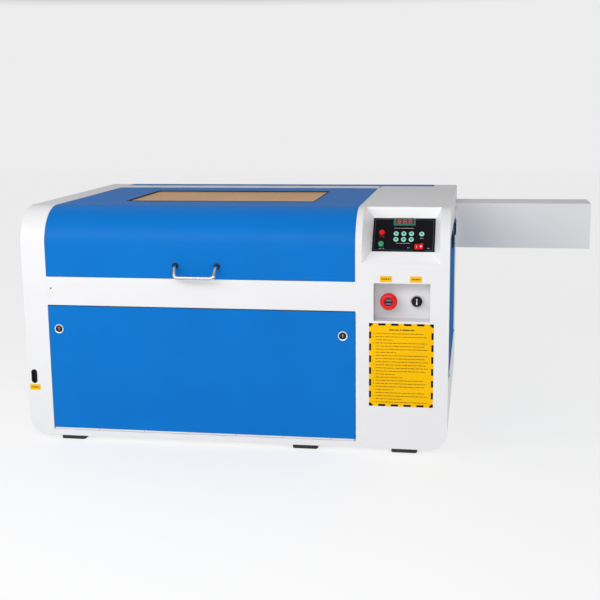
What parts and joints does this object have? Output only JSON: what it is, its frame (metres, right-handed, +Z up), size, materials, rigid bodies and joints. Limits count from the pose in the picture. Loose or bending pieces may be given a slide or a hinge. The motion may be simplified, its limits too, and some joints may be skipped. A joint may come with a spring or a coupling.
{
  "type": "laser engraver",
  "caption": "Desktop laser engraver: blue and white sheet-steel cabinet with a hinged windowed lid, drop-down front door, control column, moving gantry, lift table and a side box for the tube.",
  "frame": {"origin": "centre of the whole machine in plan, on the surface that its feet stand on", "axes": "+X to the right along the longest side, towards the tube extension; +Y to the back; +Z up"},
  "size_m": [1.38, 0.776, 0.5692],
  "materials": {
    "blue_paint": "gloss powder coat",
    "white_paint": "satin powder coat",
    "tan_acrylic": "tinted acrylic",
    "black_plastic": "satin",
    "black_rubber": "matte",
    "chrome": "polished",
    "steel": "brushed",
    "aluminium": "anodised",
    "black_metal": "black oxide",
    "brass": "machined",
    "mint_key": "gloss",
    "red_plastic": "gloss",
    "green_plastic": "gloss",
    "clear_glass": "polished"
  },
  "bodies": {
    "cabinet": {"base_pan": "white_paint", "feet": "black_rubber", "left_cheek": "white_paint", "side_port": "black_plastic", "column_shell": "white_paint", "side_access_panel": "blue_paint", "front_rail": "white_paint", "rear_panel": "white_paint", "tube_bay": "white_paint", "tube_extension": "white_paint", "exhaust_collar": "steel", "lid_hinge_fixed": "steel", "door_hinge_fixed": "steel", "cover_hinge_fixed": "steel", "panel_bezel": "white_paint", "panel_plate": "black_plastic", "switch_recess": "white_paint", "switch_bases": "steel", "labels": "black_plastic", "y_rails": "steel", "frame_motors": "black_metal", "bearing_blocks": "aluminium", "y_belts": "black_rubber", "table_guides": "steel", "laser_tube": "clear_glass", "tube_core": "clear_glass", "tube_mounts": "black_metal", "rear_fittings": "brass", "electronics": "steel"},
    "lid": {"lid": "blue_paint", "window": "tan_acrylic", "window_frame": "black_plastic", "lid_handle": "chrome"},
    "front_door": {"front_door": "blue_paint", "lock_barrels": "chrome"},
    "lock_left": {"lock_core_left": "steel"},
    "lock_right": {"lock_core_right": "steel"},
    "rear_cover": {"rear_cover": "blue_paint"},
    "red_button": {"red_button": "red_plastic"},
    "green_button": {"green_button": "green_plastic"},
    "rocker": {"rocker": "red_plastic"},
    "estop_stem": {"estop_stem": "black_plastic"},
    "estop_head": {"estop_head": "red_plastic"},
    "key_rotor": {"key_rotor": "black_plastic"},
    "gantry": {"gantry_beam": "aluminium", "x_motor": "black_metal", "x_belt": "black_rubber"},
    "laser_head": {"laser_head": "aluminium", "lens_tube": "brass"},
    "y_drive_shaft": {"y_drive_shaft": "steel"},
    "table": {"table_frame": "aluminium", "honeycomb": "aluminium"},
    "lead_screw": {"lead_screw": "steel"},
    "key_1": {"key_1": "mint_key"},
    "key_2": {"key_2": "mint_key"},
    "key_3": {"key_3": "mint_key"},
    "key_4": {"key_4": "mint_key"},
    "key_5": {"key_5": "mint_key"},
    "key_6": {"key_6": "mint_key"},
    "key_7": {"key_7": "mint_key"}
  },
  "joints": [
    {"name": "lid_hinge", "type": "hinge", "parent": "cabinet", "child": "lid", "pos_m": [-0.257, 0.2233, 0.5667], "axis": [-1, 0, 0], "range_deg": [0, 70]},
    {"name": "door_hinge", "type": "hinge", "parent": "cabinet", "child": "front_door", "pos_m": [-0.257, -0.3545, 0.0275], "axis": [1, 0, 0], "range_deg": [0, 90]},
    {"name": "cover_hinge", "type": "hinge", "parent": "cabinet", "child": "rear_cover", "pos_m": [-0.181, 0.2934, 0.5667], "axis": [1, 0, 0], "range_deg": [0, 95]},
    {"name": "lock_left_turn", "type": "hinge", "parent": "front_door", "child": "lock_left", "pos_m": [-0.603, -0.357, 0.278], "axis": [0, -1, 0], "range_deg": [-90, 0]},
    {"name": "lock_right_turn", "type": "hinge", "parent": "front_door", "child": "lock_right", "pos_m": [0.087, -0.357, 0.278], "axis": [0, -1, 0], "range_deg": [0, 90]},
    {"name": "key_1_press", "type": "slide", "parent": "cabinet", "child": "key_1", "axis": [0, 0.7745, -0.6325], "range_m": [0, 0.001], "stiffness_N_per_m": 800},
    {"name": "key_2_press", "type": "slide", "parent": "cabinet", "child": "key_2", "axis": [0, 0.7745, -0.6325], "range_m": [0, 0.001], "stiffness_N_per_m": 800},
    {"name": "key_3_press", "type": "slide", "parent": "cabinet", "child": "key_3", "axis": [0, 0.7745, -0.6325], "range_m": [0, 0.001], "stiffness_N_per_m": 800},
    {"name": "key_4_press", "type": "slide", "parent": "cabinet", "child": "key_4", "axis": [0, 0.7745, -0.6325], "range_m": [0, 0.001], "stiffness_N_per_m": 800},
    {"name": "key_5_press", "type": "slide", "parent": "cabinet", "child": "key_5", "axis": [0, 0.7745, -0.6325], "range_m": [0, 0.001], "stiffness_N_per_m": 800},
    {"name": "key_6_press", "type": "slide", "parent": "cabinet", "child": "key_6", "axis": [0, 0.7745, -0.6325], "range_m": [0, 0.001], "stiffness_N_per_m": 800},
    {"name": "key_7_press", "type": "slide", "parent": "cabinet", "child": "key_7", "axis": [0, 0.7745, -0.6325], "range_m": [0, 0.001], "stiffness_N_per_m": 800},
    {"name": "red_press", "type": "slide", "parent": "cabinet", "child": "red_button", "axis": [0, 0.7745, -0.6325], "range_m": [0, 0.003], "stiffness_N_per_m": 400},
    {"name": "green_press", "type": "slide", "parent": "cabinet", "child": "green_button", "axis": [0, 0.7745, -0.6325], "range_m": [0, 0.003], "stiffness_N_per_m": 400},
    {"name": "rocker_tilt", "type": "hinge", "parent": "cabinet", "child": "rocker", "pos_m": [0.25725, -0.30236, 0.47797], "axis": [0, 0.6325, 0.7745], "range_deg": [0, 14]},
    {"name": "estop_press", "type": "slide", "parent": "cabinet", "child": "estop_stem", "axis": [0, 1, 0], "range_m": [0, 0.004]},
    {"name": "estop_twist", "type": "hinge", "parent": "estop_stem", "child": "estop_head", "pos_m": [0.1922, -0.357, 0.359], "axis": [0, 1, 0], "range_deg": [0, 35], "stiffness_Nm_per_rad": 0.2},
    {"name": "key_turn", "type": "hinge", "parent": "cabinet", "child": "key_rotor", "pos_m": [0.2555, -0.357, 0.357], "axis": [0, 1, 0], "range_deg": [0, 90]},
    {"name": "gantry_travel", "type": "slide", "parent": "cabinet", "child": "gantry", "axis": [0, 1, 0], "range_m": [-0.4, 0]},
    {"name": "head_travel", "type": "slide", "parent": "gantry", "child": "laser_head", "axis": [1, 0, 0], "range_m": [0, 0.575]},
    {"name": "y_shaft_spin", "type": "hinge", "parent": "cabinet", "child": "y_drive_shaft", "pos_m": [-0.257, -0.327, 0.448], "axis": [1, 0, 0], "range_deg": [0, 2821]},
    {"name": "table_lift", "type": "slide", "parent": "cabinet", "child": "table", "axis": [0, 0, 1], "range_m": [-0.26, 0]},
    {"name": "lead_screw_spin", "type": "hinge", "parent": "cabinet", "child": "lead_screw", "pos_m": [-0.257, 0.119, 0.21], "axis": [0, 0, 1], "range_deg": [-11760, 0]}
  ],
  "couplings": [
    {"joint": "y_shaft_spin", "follows": "gantry_travel", "rad_per_m": -120.48},
    {"joint": "lead_screw_spin", "follows": "table_lift", "rad_per_m": 785.4}
  ]
}
